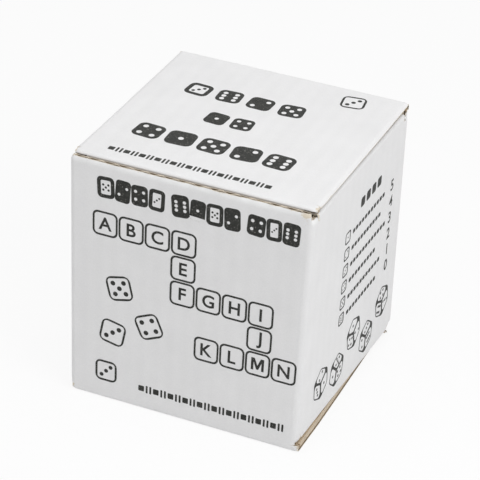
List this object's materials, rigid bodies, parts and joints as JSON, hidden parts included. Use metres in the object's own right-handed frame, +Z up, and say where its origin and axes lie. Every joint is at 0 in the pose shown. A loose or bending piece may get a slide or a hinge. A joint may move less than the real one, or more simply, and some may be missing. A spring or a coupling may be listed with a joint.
{
  "type": "boxed letter dice game",
  "caption": "Small folded corrugated carton with a tuck lid and a tuck bottom, packed with wooden letter dice.",
  "frame": {"origin": "middle of the carton's underside", "axes": "+Z up to the lid, +X to the right, +Y to the back, where the lid is hinged; the front faces -Y"},
  "size_m": [0.055, 0.0546, 0.0587],
  "materials": {
    "white_board": "white printed liner outside, brown liner inside, brown raw edges",
    "die_wood": "sanded, clear varnish"
  },
  "bodies": {
    "sleeve": {"front_panel": "white_board", "back_panel": "white_board", "left_panel": "white_board", "right_panel": "white_board", "glue_tab": "white_board", "die_01": "die_wood", "die_02": "die_wood", "die_03": "die_wood", "die_04": "die_wood", "die_05": "die_wood", "die_06": "die_wood", "die_07": "die_wood", "die_08": "die_wood", "die_09": "die_wood", "die_10": "die_wood", "die_11": "die_wood", "die_12": "die_wood", "die_13": "die_wood", "die_14": "die_wood", "die_15": "die_wood", "die_16": "die_wood", "die_17": "die_wood", "die_18": "die_wood", "die_19": "die_wood", "die_20": "die_wood", "die_21": "die_wood", "die_22": "die_wood", "die_23": "die_wood", "die_24": "die_wood", "die_25": "die_wood", "die_26": "die_wood", "die_27": "die_wood"},
    "lid": {"lid_panel": "white_board"},
    "lid_tuck": {"lid_tuck_flap": "white_board"},
    "top_left_flap": {"top_left_dust_flap": "white_board"},
    "top_right_flap": {"top_right_dust_flap": "white_board"},
    "bottom": {"bottom_panel": "white_board"},
    "bottom_tuck": {"bottom_tuck_flap": "white_board"},
    "bottom_left_flap": {"bottom_left_dust_flap": "white_board"},
    "bottom_right_flap": {"bottom_right_dust_flap": "white_board"}
  },
  "joints": [
    {"name": "lid_hinge", "type": "hinge", "parent": "sleeve", "child": "lid", "pos_m": [0, 0.02656, 0.05795], "axis": [-1, 0, 0], "range_deg": [0, 180]},
    {"name": "lid_tuck_fold", "type": "hinge", "parent": "lid", "child": "lid_tuck", "pos_m": [0, -0.02491, 0.05795], "axis": [-1, 0, 0], "range_deg": [0, 60]},
    {"name": "top_left_flap_fold", "type": "hinge", "parent": "sleeve", "child": "top_left_flap", "pos_m": [-0.02675, 0, 0.0563], "axis": [0, -1, 0], "range_deg": [0, 90]},
    {"name": "top_right_flap_fold", "type": "hinge", "parent": "sleeve", "child": "top_right_flap", "pos_m": [0.02675, 0, 0.0563], "axis": [0, 1, 0], "range_deg": [0, 90]},
    {"name": "bottom_hinge", "type": "hinge", "parent": "sleeve", "child": "bottom", "pos_m": [0, -0.02656, 0.00075], "axis": [-1, 0, 0], "range_deg": [0, 180]},
    {"name": "bottom_tuck_fold", "type": "hinge", "parent": "bottom", "child": "bottom_tuck", "pos_m": [0, 0.02491, 0.00075], "axis": [-1, 0, 0], "range_deg": [0, 60]},
    {"name": "bottom_left_flap_fold", "type": "hinge", "parent": "sleeve", "child": "bottom_left_flap", "pos_m": [-0.02675, 0, 0.0024], "axis": [0, 1, 0], "range_deg": [0, 90]},
    {"name": "bottom_right_flap_fold", "type": "hinge", "parent": "sleeve", "child": "bottom_right_flap", "pos_m": [0.02675, 0, 0.0024], "axis": [0, -1, 0], "range_deg": [0, 90]}
  ],
  "couplings": [
    {"joint": "lid_tuck_fold", "follows": "lid_hinge", "ratio": 0.3333},
    {"joint": "top_left_flap_fold", "follows": "lid_hinge", "ratio": 0.5},
    {"joint": "top_right_flap_fold", "follows": "lid_hinge", "ratio": 0.5},
    {"joint": "bottom_tuck_fold", "follows": "bottom_hinge", "ratio": 0.3333},
    {"joint": "bottom_left_flap_fold", "follows": "bottom_hinge", "ratio": 0.5},
    {"joint": "bottom_right_flap_fold", "follows": "bottom_hinge", "ratio": 0.5}
  ]
}
